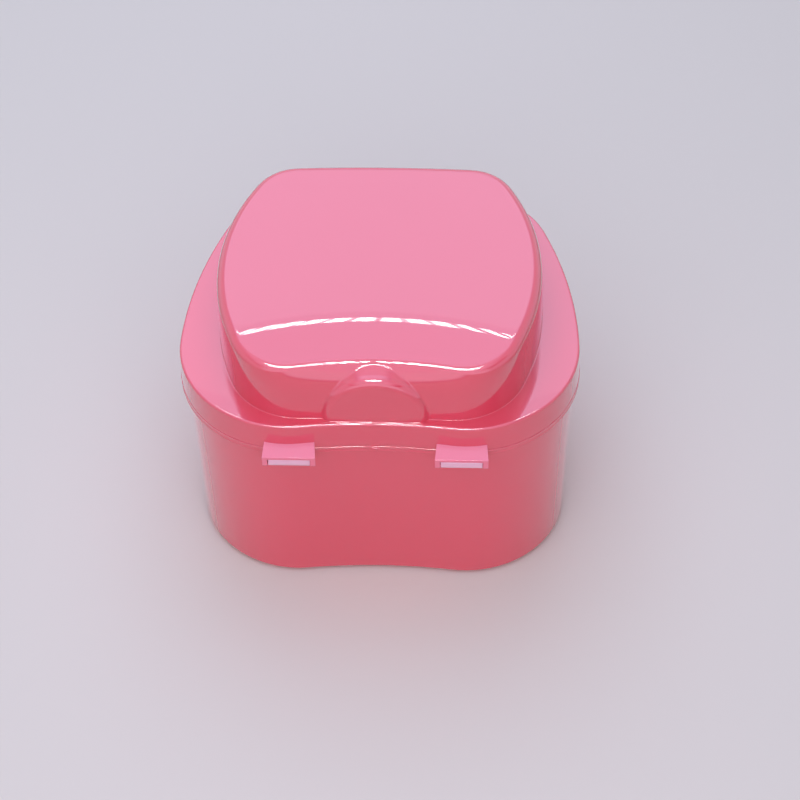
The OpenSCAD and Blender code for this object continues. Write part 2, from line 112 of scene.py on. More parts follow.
class Plan:
    """Right half of an outline: back, corner, side and lobe arcs, then the hollow in front.
    STEPS counts the points on each arc, BAY those across the half-moon."""

    STEPS = (14, 22, 34, 26, 10)
    BAY = 30

    def __init__(self, width, back, front, side_r, back_r, corner_r, lobe_r, widest, hollow_r):
        self.radii = (back_r, corner_r, side_r, lobe_r, hollow_r)
        c0 = np.array([0.0, back - back_r])
        c2 = np.array([width / 2 - side_r, -widest])
        lobe_y = lobe_r - front
        c3 = np.array([c2[0] + math.sqrt((side_r - lobe_r) ** 2 - (lobe_y + widest) ** 2), lobe_y])
        c4 = np.array([0.0, lobe_y - math.sqrt((hollow_r + lobe_r) ** 2 - c3[0] ** 2)])
        gap = c2 - c0
        span = math.hypot(*gap)
        e = gap / span
        r0, r2 = back_r - corner_r, side_r - corner_r
        along = (r0 * r0 - r2 * r2 + span * span) / (2 * span)
        off = math.sqrt(r0 * r0 - along * along)
        tries = [c0 + e * along + s * off * np.array([e[1], -e[0]]) for s in (1, -1)]
        c1 = max(tries, key=lambda c: c[0])
        self.centres = (c0, c1, c2, c3, c4)
        self.dip = bearing(c3 - c4)
        turns = [0, bearing(c1 - c0), bearing(c1 - c2), bearing(c3 - c2), math.pi + self.dip]
        self.turns = [t + 2 * math.pi if t < 0 else t for t in turns]

    def hollow(self, x, inset=0.0):
        """Y of the hollow's arc at x."""
        r = self.radii[4] + inset
        return self.centres[4][1] + np.sqrt(r * r - np.square(x))

    def half(self, inset=0.0):
        """Points from the back's middle to the front's, as an (n, 2) array."""
        parts = []
        for k in range(4):
            t = np.linspace(self.turns[k], self.turns[k + 1], self.STEPS[k], endpoint=False)
            r = self.radii[k] - inset
            parts.append(np.stack([r * np.sin(t), r * np.cos(t)], 1) + self.centres[k])
        start = (self.radii[4] + inset) * math.sin(self.dip)
        x = np.concatenate([np.linspace(start, MOON_R, self.STEPS[4], endpoint=False),
                            MOON_R * (1 - np.arange(self.BAY + 1) / self.BAY)])
        parts.append(np.stack([x, self.hollow(x, inset)], 1))
        return np.concatenate(parts)


rim, foot, crest = Plan(**RIM), Plan(**DOME_FOOT), Plan(**DOME_CREST)
BAY0 = sum(Plan.STEPS)
HALF = BAY0 + Plan.BAY
FRONT_COLUMNS = 12


class Section:
    """Sections square to a plan outline: a point has an inset and a height in each column."""

    def __init__(self, half, inward):
        self.half, self.inward = half, inward

    @classmethod
    def of(cls, plan):
        a = plan.half(0.0)
        return cls(a, plan.half(1.0) - a)

    def at(self, inset, z):
        p = self.half + self.inward * np.reshape(inset, (-1, 1))
        return np.column_stack([p, np.broadcast_to(z, len(p))])


def unit(v):
    v = np.asarray(v, float)
    return v / np.linalg.norm(v, axis=-1, keepdims=True)


def rounded(corner, n1, n2, radius, steps):
    """Points of an arc tangent to two lines that meet at a corner and have these normals.
    A positive radius rounds an outer corner, a negative one fills an inner corner."""
    corner, n1, n2 = (np.atleast_2d(np.asarray(a, float)) for a in (corner, n1, n2))
    n1, n2 = unit(n1), unit(n2)
    dot = np.sum(n1 * n2, -1, keepdims=True)
    centre = corner - radius * (n1 + n2) / (1 + dot)
    angle = np.arccos(np.clip(dot, -1, 1))
    out = []
    for t in np.linspace(0, 1, steps + 1):
        n = (np.sin((1 - t) * angle) * n1 + np.sin(t * angle) * n2) / np.sin(angle)
        out.append(centre + radius * n)
    return out


def rings_of(section, points):
    return [section.at(p[:, 0], p[:, 1]) for p in (np.atleast_2d(q) for q in points)]


def lines(a, b, steps):
    """Rings between two rings, both left out."""
    return [a + (b - a) * i / steps for i in range(1, steps)]


def ramp(x, y):
    """How far the dome's top has fallen."""
    s = np.maximum(0, RAMP_LINE_R - np.hypot(x, y + RAMP_START + RAMP_LINE_R))
    early = RAMP_SLOPE * s * s / (2 * RAMP_BLEND)
    return np.where(s < RAMP_BLEND, early, RAMP_SLOPE * (s - RAMP_BLEND / 2))


def whole(half):
    """A closed ring from its right half."""
    left = half[-2:0:-1] * np.array([-1.0, 1.0, 1.0])
    return np.concatenate([half, left])


def top_z(x, y):
    return DOME_TOP - ramp(x, y)


def come_in(t):
    """Share of the dome wall's lean that is reached at a share of its height."""
    return t - t * (1 - t) * (WALL_EARLY + WALL_LATE * t * t)


def matched(section, plan):
    """The plan's section with one column where each of the other section's columns meets it."""
    plan_steps = Plan.STEPS
    Plan.STEPS = tuple(12 * n for n in plan_steps)
    dense = Section.of(plan)
    Plan.STEPS = plan_steps
    half, inward = [], []
    for p, d in zip(section.half, unit(section.inward)):
        side = (dense.half - p) @ np.array([-d[1], d[0]])
        ahead = (dense.half - p) @ d
        cross = np.nonzero((side[:-1] <= 1e-9) != (side[1:] <= 1e-9))[0]
        if len(cross) == 0:
            k, f = (0, 0.0) if p[1] > 0 else (len(side) - 2, 1.0)
        else:
            k = cross[np.argmin(np.abs(ahead[cross]))]
            f = side[k] / (side[k] - side[k + 1])
        half.append(dense.half[k] * (1 - f) + dense.half[k + 1] * f)
        inward.append(dense.inward[k] * (1 - f) + dense.inward[k + 1] * f)
    half, inward = np.array(half), np.array(inward)
    half[[0, -1], 0] = inward[[0, -1], 0] = 0
    return Section(half, inward)


rim_s = Section.of(rim)
foot_s = Section.of(foot)
crest_s = matched(foot_s, crest)

OUT, UP, DOWN, IN = (-1, 0), (0, 1), (0, -1), (1, 0)

# the dome's foot, wall and edge in each column's own section
crest_top = top_z(*crest_s.half.T)
rise = crest_top - PLATE_TOP
lean_in = np.sum((crest_s.half - foot_s.half) * unit(foot_s.inward), 1)
normal_low = unit(np.column_stack([-rise, lean_in * (1 - WALL_EARLY)]))
normal_high = unit(np.column_stack([-rise, lean_in * (1 + WALL_EARLY + WALL_LATE)]))
foot_pts = rounded(np.column_stack([np.zeros(HALF + 1), np.full(HALF + 1, PLATE_TOP)]),
                   np.tile(UP, (HALF + 1, 1)), normal_low, -DOME_FOOT_R, 4)
step_in = crest_s.half + crest_s.inward * 0.5
pitch = (top_z(*step_in.T) - crest_top) / 0.5
normal_top = unit(np.column_stack([-pitch, np.ones(HALF + 1)]))
edge_pts = rounded(np.column_stack([np.zeros(HALF + 1), crest_top]), normal_high, normal_top,
                   DOME_EDGE_R, 13)
foot_rings = rings_of(foot_s, foot_pts)
edge_rings = rings_of(crest_s, edge_pts)

# the plate in front of the dome rises a little from the rim, as a low crown
plate_w = np.linalg.norm(foot_s.half - rim_s.half, axis=1)
facing = np.maximum(0, unit(foot_s.inward)[:, 1])
beside = np.clip((np.abs(foot_s.half[:, 0]) - MOON_R - CROWN_GAP) / CROWN_BLEND, 0, 1)
crown = 0.5 * plate_w * CROWN_SLOPE * facing * beside
for ring in foot_rings:
    ring[:, 2] += crown


def wall_y(x, z):
    """Y of the dome's front wall at x and z."""
    front = slice(None, BAY0 - FRONT_COLUMNS, -1)
    low, high = foot_rings[-1][front], edge_rings[0][front]
    y0, z0 = (np.interp(x, low[:, 0], low[:, k]) for k in (1, 2))
    y1, z1 = (np.interp(x, high[:, 0], high[:, k]) for k in (1, 2))
    return y0 + (y1 - y0) * come_in(np.clip((z - z0) / (z1 - z0), 0, 1))


# the half-moon's face, its rounded edge and the bar behind it, in one column for each angle
MOON_Y = float(rim.hollow(0.0)) + MOON_BACK
ARCH0 = -math.asin((MOON_Z - PLATE_TOP) / MOON_R)
BAY_SHARE = np.arange(Plan.BAY + 1) / Plan.BAY
ARCH = ARCH0 + (math.pi / 2 - ARCH0) * BAY_SHARE


def moon_point(y):
    """Points of the half-moon's outside at this Y in each column."""
    depth = np.broadcast_to(y - MOON_Y, ARCH.shape)
    short = MOON_EDGE_R - np.minimum(depth, MOON_EDGE_R)
    rho = MOON_R - MOON_EDGE_R + np.sqrt(MOON_EDGE_R ** 2 - short ** 2)
    rho = rho * (1 + MOON_GROW * np.maximum(0, depth - MOON_EDGE_R))
    x = rho * np.cos(ARCH)
    z = np.maximum(PLATE_TOP, MOON_Z + rho * np.sin(ARCH))
    z[0] = PLATE_TOP
    return np.column_stack([x, MOON_Y + depth, z])


def moon_meets_wall():
    """Y where the half-moon's outside runs into the dome's wall in each column."""
    near, far = np.full(ARCH.shape, MOON_Y + 0.05), np.full(ARCH.shape, MOON_Y + 15)
    for _ in range(40):
        mid = (near + far) / 2
        p = moon_point(mid)
        behind = mid > wall_y(p[:, 0], p[:, 2])
        near, far = np.where(behind, near, mid), np.where(behind, mid, far)
    return (near + far) / 2


# mesh helpers
def to_frame(points):
    p = np.asarray(points, float).copy()
    p[:, 1] += SHIFT_Y
    return p * MM


def new_object(name, points, faces, smooth=True):
    mesh = bpy.data.meshes.new(name)
    mesh.from_pydata(to_frame(points).tolist(), [], faces)
    mesh.validate(clean_customdata=False)
    mesh.polygons.foreach_set("use_smooth", [smooth] * len(mesh.polygons))
    mesh.update()
    obj = bpy.data.objects.new(name, mesh)
    bpy.context.scene.collection.objects.link(obj)
    return obj


def clean(obj, merge=0.004):
    """Merges points that fell together, drops flat faces and turns all faces outwards."""
    bm = bmesh.new()
    bm.from_mesh(obj.data)
    bmesh.ops.remove_doubles(bm, verts=bm.verts, dist=merge * MM)
    bmesh.ops.dissolve_degenerate(bm, edges=bm.edges, dist=merge * MM)
    bmesh.ops.recalc_face_normals(bm, faces=bm.faces)
    bm.to_mesh(obj.data)
    bm.free()
    return obj


def loft(name, rings, first, last, skip=()):
    """Closed solid through rings of points, from a centre point to a centre point."""
    count = len(rings[0])
    points = np.concatenate([[first]] + [r for r in rings] + [[last]])
    faces = []
    at = lambda k, i: 1 + k * count + i % count
    end = 1 + len(rings) * count
    for i in range(count):
        faces.append((0, at(0, i + 1), at(0, i)))
        faces.append((end, at(len(rings) - 1, i), at(len(rings) - 1, i + 1)))
    for k in range(len(rings) - 1):
        for i in range(count):
            if (k, i) not in skip:
                faces.append((at(k, i), at(k, i + 1), at(k + 1, i + 1), at(k + 1, i)))
    return new_object(name, points, faces)


def sharpen(obj, degrees):
    """Marks edges sharper than an angle, so that they don't shade as rounded."""
    bm = bmesh.new()
    bm.from_mesh(obj.data)
    limit = math.radians(degrees)
    for e in bm.edges:
        if len(e.link_faces) == 2:
            e.smooth = e.calc_face_angle(0) < limit
    bm.to_mesh(obj.data)
    bm.free()
    return obj


def apply(obj):
    """Turns an object's modifiers into mesh."""
    dg = bpy.context.evaluated_depsgraph_get()
    mesh = bpy.data.meshes.new_from_object(obj.evaluated_get(dg))
    obj.modifiers.clear()
    old, obj.data = obj.data, mesh
    bpy.data.meshes.remove(old)
    mesh.name = obj.name
    return obj


def bevel(obj, width, segments=3, angle=30):
    m = obj.modifiers.new("bevel", "BEVEL")
    m.width, m.segments = width * MM, segments
    m.limit_method, m.angle_limit = "ANGLE", math.radians(angle)
    m.harden_normals = False
    apply(obj)
    obj.data.polygons.foreach_set("use_smooth", [True] * len(obj.data.polygons))
    return weigh(obj)


def weigh(obj):
    """Keeps large faces flat in shading beside small roundings."""
    m = obj.modifiers.new("normals", "WEIGHTED_NORMAL")
    m.keep_sharp = True
    m.weight = 100
    return obj


def cut(obj, other, operation="DIFFERENCE"):
    """Boolean with another object, which is used up."""
    m = obj.modifiers.new("cut", "BOOLEAN")
    m.operation, m.object, m.solver = operation, other, "EXACT"
    apply(obj)
    bpy.data.objects.remove(other)
    return obj


def prism(name, outline, place, length):
    """Solid of a 2-D outline: place maps (u, v, w) to x, y, z, and w runs over the length."""
    lo, hi = length
    n = len(outline)
    points = [place(u, v, w) for w in (lo, hi) for u, v in outline]
    faces = [tuple(range(n - 1, -1, -1)), tuple(range(n, 2 * n))]
    faces += [(i, (i + 1) % n, n + (i + 1) % n, n + i) for i in range(n)]
    return clean(new_object(name, points, faces, smooth=False), 0.0005)


def circle(cx, cy, r, a0=0.0, a1=360.0, n=32, closed=True):
    t = np.radians(np.linspace(a0, a1, n, endpoint=not closed))
    return [(cx + r * math.cos(a), cy + r * math.sin(a)) for a in t]


def join(name, objects):
    """One object from the meshes of several."""
    bm = bmesh.new()
    for o in objects:
        bm.from_mesh(o.data)
        bpy.data.objects.remove(o)
    mesh = bpy.data.meshes.new(name)
    bm.to_mesh(mesh)
    bm.free()
    obj = bpy.data.objects.new(name, mesh)
    bpy.context.scene.collection.objects.link(obj)
    return obj


def lean(d_inset, dz):
    """Outward normal of a wall that moves in by d_inset over a rise of dz."""
    return np.array([[-dz, d_inset]], float)


# cup
def make_cup():
    """Cup with its recessed foot, the band under the lid and the neck that the skirt goes over."""
    s = rim_s
    wall = lean(WALL_IN_TOP - WALL_IN_LOW, BAND_TOP - BAND_T - FOOT_R)
    inner = -lean(MOUTH_IN - MOUTH_IN_LOW, MOUTH_Z - FLOOR_TOP)
    band_low = BAND_TOP - BAND_T
    inset_foot = WALL_IN_LOW + FOOT_R + FOOT_W
    points = [(inset_foot + 20, FOOT_RECESS), (inset_foot + 4, FOOT_RECESS)]
    slant = (0.7, -0.7)
    points += rounded((inset_foot + FOOT_RECESS + 0.1, FOOT_RECESS), DOWN, slant, -FOOT_EDGE_R, 3)
    points += rounded((inset_foot, 0), slant, DOWN, FOOT_EDGE_R, 3)
    low_corner = WALL_IN_LOW + (WALL_IN_TOP - WALL_IN_LOW) * (0 - FOOT_R) / (band_low - FOOT_R)
    points += rounded((low_corner, 0), DOWN, wall, FOOT_R, 10)
    rings = rings_of(s, points)
    top = s.at(WALL_IN_TOP, band_low - 0.25)
    rings += lines(rings[-1], top, 10)
    points = rounded((WALL_IN_TOP, band_low), wall, DOWN, -CUP_FILLET_R, 3)
    points += rounded((-FLARE, band_low), DOWN, OUT, BAND_LOW_R, 4)
    bead_low, bead_top = band_low + BEAD_LOW_H, BAND_TOP - BEAD_TOP_H
    points += [(-FLARE, bead_low), (BEAD - FLARE, bead_low + BEAD_RAMP)]
    points += [(BEAD - FLARE, bead_top - BEAD_RAMP), (-FLARE, bead_top)]
    points += rounded((-FLARE, BAND_TOP), OUT, UP, BAND_TOP_R, 4)
    points += rounded((NECK_IN, BAND_TOP), UP, OUT, -CUP_FILLET_R, 3)
    points += rounded((NECK_IN, MOUTH_Z), OUT, UP, MOUTH_R, 4)
    points += rounded((MOUTH_IN, MOUTH_Z), UP, IN, MOUTH_R, 4)
    rings += rings_of(s, points)
    points = rounded((MOUTH_IN_LOW, FLOOR_TOP), inner, UP, -CUP_INNER_R, 8)
    more = rings_of(s, points)
    rings += lines(rings[-1], more[0], 10) + more
    rings += rings_of(s, [(MOUTH_IN_LOW + 8, FLOOR_TOP), (MOUTH_IN_LOW + 18, FLOOR_TOP)])
    rings = [whole(r) for r in rings]
    obj = loft("cup", rings, (0, -4, FOOT_RECESS), (0, -4, FLOOR_TOP))
    return weigh(clean(obj))


# lid
def arch_point(rho, y, angles=ARCH, low=PLATE_TOP):
    z = np.maximum(low, MOON_Z + rho * np.sin(angles))
    return np.column_stack([rho * np.cos(angles), np.broadcast_to(y, len(angles)), z])


def with_bay(half, bay):
    """Replaces the columns in front of the half-moon in a half ring."""
    out = half.copy()
    out[BAY0:] = bay
    return out


def flange_span(a, b, share):
    return a + (b - a) * share


def make_lid():
    """Lid with its skirt, plate, half-moon and dome, and an inside that follows them."""
    slope_side = lean(FLARE - BEAD, PLATE_TOP - LID_LOW)

    # skirt, from its inner corner round its lower edge and up to the rim
    inner_wall = -lean(FLARE, PLATE_LOW - LID_LOW)
    points = rounded((SKIRT_T - FLARE, LID_LOW), inner_wall, DOWN, SKIRT_IN_R, 2)
    points += rounded((BEAD - FLARE, LID_LOW), DOWN, slope_side, SKIRT_OUT_R, 3)
    outer = rings_of(rim_s, points)
    points = rounded((0, PLATE_TOP), slope_side, UP, RIM_EDGE_R, 6)
    more = rings_of(rim_s, points)
    outer += lines(outer[-1], more[0], 6) + more

    # half-moon columns: face, its rounded edge, the bar behind it and the fillet to the wall
    rim_end = outer[-1]
    flange_end = foot_rings[0]
    rho_in = MOON_R - MOON_EDGE_R
    FOOT, FACE, ROUND, BAR, WALL_RINGS = 4, 7, 9, 6, 16
    stages = FOOT + FACE + ROUND + BAR
    face_top = arch_point(rho_in, MOON_Y, low=0)
    base = np.column_stack([(1 - BAY_SHARE) * rho_in * math.cos(ARCH0),
                            np.full(len(ARCH), MOON_Y), np.full(len(ARCH), PLATE_TOP)])
    face_top[0] = base[0]
    bay_path = []
    for y, z in (q[0] for q in rounded((MOON_Y, PLATE_TOP), UP, OUT, -MOON_FOOT_R, FOOT - 1)):
        p = base.copy()
        p[:, 1] = y
        p[:, 2] = np.minimum(z, face_top[:, 2])
        bay_path.append(p)
    foot_end = bay_path[-1]
    for i in range(1, FACE + 1):
        bay_path.append(foot_end + (face_top - foot_end) * i / (FACE + 1))
    meet_y = moon_meets_wall()
    stop_y = np.maximum(meet_y - MOON_FILLET_R, MOON_Y + 0.3)
    turned = np.arccos(1 - np.minimum(stop_y - MOON_Y, MOON_EDGE_R) / MOON_EDGE_R)
    for i in range(ROUND):
        bay_path.append(moon_point(MOON_Y + MOON_EDGE_R * (1 - np.cos(turned * i / ROUND))))
    bar_y = MOON_Y + MOON_EDGE_R * (1 - np.cos(turned))
    for i in range(BAR):
        bay_path.append(moon_point(bar_y + (stop_y - bar_y) * i / BAR))
    before, meet = moon_point(stop_y), moon_point(meet_y)
    side = unit(np.column_stack([np.cos(ARCH), np.sin(ARCH)])) * MOON_FILLET_R
    beyond = meet.copy()
    beyond[:, 0] += side[:, 0]
    beyond[:, 2] = np.maximum(PLATE_TOP, beyond[:, 2] + side[:, 1])
    beyond[:, 1] = wall_y(beyond[:, 0], beyond[:, 2])
    fill_rings = [before * (1 - t) ** 2 + meet * 2 * t * (1 - t) + beyond * t * t
                  for t in np.linspace(0, 1, 5)]
    for i in range(stages):
        share = (i + 1) / (stages + 1)
        half = flange_span(rim_end, flange_end, share)
        half[:, 2] = PLATE_TOP + (flange_end[:, 2] - PLATE_TOP) * (1 - (1 - share) ** 2)
        outer.append(with_bay(half, bay_path[i]))
    for k, r in enumerate(foot_rings):
        outer.append(with_bay(r, fill_rings[k]))
    start, end = outer[-1], edge_rings[0]
    for i in range(1, WALL_RINGS):
        t = i / WALL_RINGS
        r = start + (end - start) * t
        r[:, :2] = start[:, :2] + (end - start)[:, :2] * come_in(t)
        bay = start[BAY0:] + (end - start)[BAY0:] * t
        bay[:, 1] = wall_y(bay[:, 0], bay[:, 2])
        outer.append(with_bay(r, bay))
    outer += edge_rings
    shares = np.concatenate([np.linspace(1, 0.5, 66)[1:], np.linspace(0.5, 0.06, 16)[1:]])
    for t in shares:
        r = edge_rings[-1].copy()
        r[:, :2] *= t
        r[:, 2] = top_z(r[:, 0], r[:, 1])
        outer.append(r)

    # inside, from the middle of the ceiling out and down to the skirt's lower edge
    ceiling = crest_s.at(LID_T, 0.0)
    ceiling[:, 2] = top_z(ceiling[:, 0], ceiling[:, 1]) - LID_T
    inner = []
    for t in np.concatenate([np.linspace(0.06, 0.5, 10), np.linspace(0.5, 1, 24)[1:]]):
        r = ceiling.copy()
        r[:, :2] *= t
        r[:, 2] = top_z(r[:, 0], r[:, 1]) - LID_T
        inner.append(r)
    plate_edge = foot_s.at(LID_T, PLATE_LOW)
    pocket_r = MOON_R - MOON_WALL
    low = -math.asin((MOON_Z - PLATE_LOW) / pocket_r)
    arch_in = low + (math.pi / 2 - low) * BAY_SHARE
    pocket_front = arch_point(pocket_r, MOON_Y + MOON_WALL, arch_in, PLATE_LOW)
    pocket_back = pocket_front.copy()
    back_z = np.maximum(pocket_back[:, 2], PLATE_TOP)
    pocket_back[:, 1] = wall_y(pocket_back[:, 0], back_z) + LID_T
    pocket_mid = pocket_front.copy()
    mid_y = np.minimum(wall_y(pocket_back[:, 0], back_z), pocket_back[:, 1] - 0.2)
    pocket_mid[:, 1] = mid_y
    pocket_low = pocket_front.copy()
    pocket_low[:, 2] = PLATE_LOW
    pocket_low[:, 0] = pocket_front[0, 0] * (1 - BAY_SHARE)
    skirt_in = rim_s.at(SKIRT_T, PLATE_LOW)
    wall_end = with_bay(plate_edge, pocket_back)
    inner += lines(inner[-1], wall_end, 8) + [wall_end]
    m = with_bay(flange_span(plate_edge, skirt_in, 0.15), pocket_mid)
    a = with_bay(flange_span(plate_edge, skirt_in, 0.3), pocket_front)
    inner += [m, a]
    b = with_bay(flange_span(plate_edge, skirt_in, 0.6), pocket_low)
    inner += lines(a, b, 3) + [b]
    inner += lines(b, skirt_in, 2) + [skirt_in]
    inner += lines(skirt_in, outer[0], 3)

    rings = [whole(r) for r in inner + outer]
    obj = loft("lid_shell", rings, (0, 0, float(top_z(0.0, 0.0)) - LID_T),
               (0, 0, float(top_z(0.0, 0.0))))
    clean(obj)
    sharpen(obj, 38)
    return weigh(obj)


def xz(u, v, w):
    return (u, w, v)


def xy(u, v, w):
    return (u, v, w)


def make_bracket(name, side):
    """Shelf and two ears on the lid, with the moulded pin between them."""
    x0 = side * HINGE_X
    depth = AXIS_Y - SHELF_Y
    reach = AXIS_Y + EAR_R - 0.2
    end = SHELF_END_Y
    top = LID_LOW + SHELF_T
    turn = np.linspace(0, math.pi / 2, 10)
    profile = [(SHELF_Y, top)]
    profile += [(AXIS_Y - depth * math.cos(t), AXIS_Z - EAR_R * math.sin(t)) for t in turn]
    profile += [(AXIS_Y + (reach - AXIS_Y) * math.sin(t), AXIS_Z - EAR_R * math.cos(t))
                for t in turn[1:]]
    profile += [(reach, LID_LOW), (end, LID_LOW), (end, top + SHELF_FALL * (end - SHELF_Y))]
    half = HINGE_W / 2
    body = prism(name, profile, lambda u, v, w: (x0 + w, u, v), (-half, half))
    low, r = AXIS_Z - EAR_R, EAR_T
    front = [(-half, top + 2), (-half, low + r)]
    front += [(-half + r - r * math.cos(t), low + r - r * math.sin(t)) for t in turn[1:]]
    front += [(-x, z) for x, z in reversed(front)]
    frame_cut = prism("frame_cut", front, lambda u, v, w: (x0 + u, w, v), (SHELF_Y - 1, end + 1))
    cut(body, frame_cut, "INTERSECT")
    gap = half - EAR_T
    slot_box = [(-gap, AXIS_Z - 4), (gap, AXIS_Z - 4), (gap, LID_LOW), (-gap, LID_LOW)]
    cutter = prism("cutter", slot_box, lambda u, v, w: (x0 + u, w, v), (SHELF_Y - 2, end + 1))
    cut(body, cutter)
    clean(body, 0.001)
    bevel(body, BRACKET_EDGE_R, 4, 40)
    for v in body.data.vertices:
        back = (v.co.y / MM - SHIFT_Y - SHELF_Y) / (end - SHELF_Y)
        v.co.x = x0 * MM + (v.co.x - x0 * MM) * (1 - SHELF_NARROW * min(1, max(0, back)))
    pin = prism(name + "_pin", circle(AXIS_Y, AXIS_Z, PIN_R, n=28),
                lambda u, v, w: (x0 + w, u, v), (PIN_SHORT - half, half - PIN_SHORT))
    bevel(pin, PIN_EDGE_R, 2, 50)
    return body, pin


def make_knuckle(name, side):
    """Open clip on the cup that holds the lid's pin."""
    x0 = side * HINGE_X
    width = HINGE_W - 2 * EAR_T - 2 * KNUCKLE_GAP
    slot = CLIP_SHARE * PIN_R
    bore = PIN_R + PIN_GAP
    a = math.degrees(math.asin(slot / KNUCKLE_R))
    b = math.degrees(math.asin(slot / bore))
    outer_front = circle(AXIS_Y, AXIS_Z, KNUCKLE_R, 90, 270 - a, 22, closed=False)
    bore_arc = circle(AXIS_Y, AXIS_Z, bore, 270 - b, -90 + b, 30, closed=False)
    profile = outer_front + bore_arc
    profile += [(AXIS_Y + slot, AXIS_Z - KNUCKLE_R), (KNUCKLE_END_Y, AXIS_Z - KNUCKLE_R),
                (KNUCKLE_END_Y, AXIS_Z + KNUCKLE_R)]
    body = prism(name, profile, lambda u, v, w: (x0 + w, u, v), (-width / 2, width / 2))
    return bevel(body, KNUCKLE_EDGE_R, 4, 50)


def make_lip():
    """Thumb lip at the back of the skirt."""
    corner = LIP_OUT / 2
    centre = RIM["back"] - RIM["back_r"]
    reach = RIM["back_r"] + FLARE + LIP_OUT
    half = math.asin((LIP_W / 2 - corner) / reach)
    pts = [(reach * math.sin(t), centre + reach * math.cos(t)) for t in np.linspace(-half, half, 25)]
    y_out = pts[0][1]
    left = [(-LIP_W / 2 + corner - corner * math.sin(t), y_out - corner + corner * math.cos(t))
            for t in np.linspace(math.pi / 2, 0, 8)[:-1]]
    right = [(-x, y) for x, y in reversed(left)]
    outline = [(-LIP_W / 2, LIP_ROOT_Y)] + left + pts + right + [(LIP_W / 2, LIP_ROOT_Y)]
    body = prism("thumb_lip", outline, xy, (LID_LOW, LID_LOW + LIP_T))
    return bevel(body, LIP_EDGE_R, 4, 40)


# basket
def rim_marks():
    """Points spread evenly along each arc of the rim, by which slots and ribs are placed."""
    steps = (4, 8, 10, 9, 5)
    plan = Plan(**RIM)
    marks = []
    for k in range(4):
        t = np.linspace(plan.turns[k], plan.turns[k + 1], steps[k], endpoint=False)
        r = plan.radii[k]
        marks.append(np.stack([r * np.sin(t), r * np.cos(t)], 1) + plan.centres[k])
    t = np.linspace(plan.dip, 0, steps[4] + 1)
    r = plan.radii[4]
    marks.append(np.stack([r * np.sin(t), r * np.cos(t)], 1) + plan.centres[4])
    half = np.concatenate(marks)
    left = half[-2:0:-1] * np.array([-1.0, 1.0])
    return np.concatenate([half, left])


def closed(section):
    """Outline and inward steps of a section all the way round."""
    base = np.concatenate([section.half, section.half[-2:0:-1] * np.array([-1.0, 1.0])])
    inward = np.concatenate([section.inward, section.inward[-2:0:-1] * np.array([-1.0, 1.0])])
    return base, inward


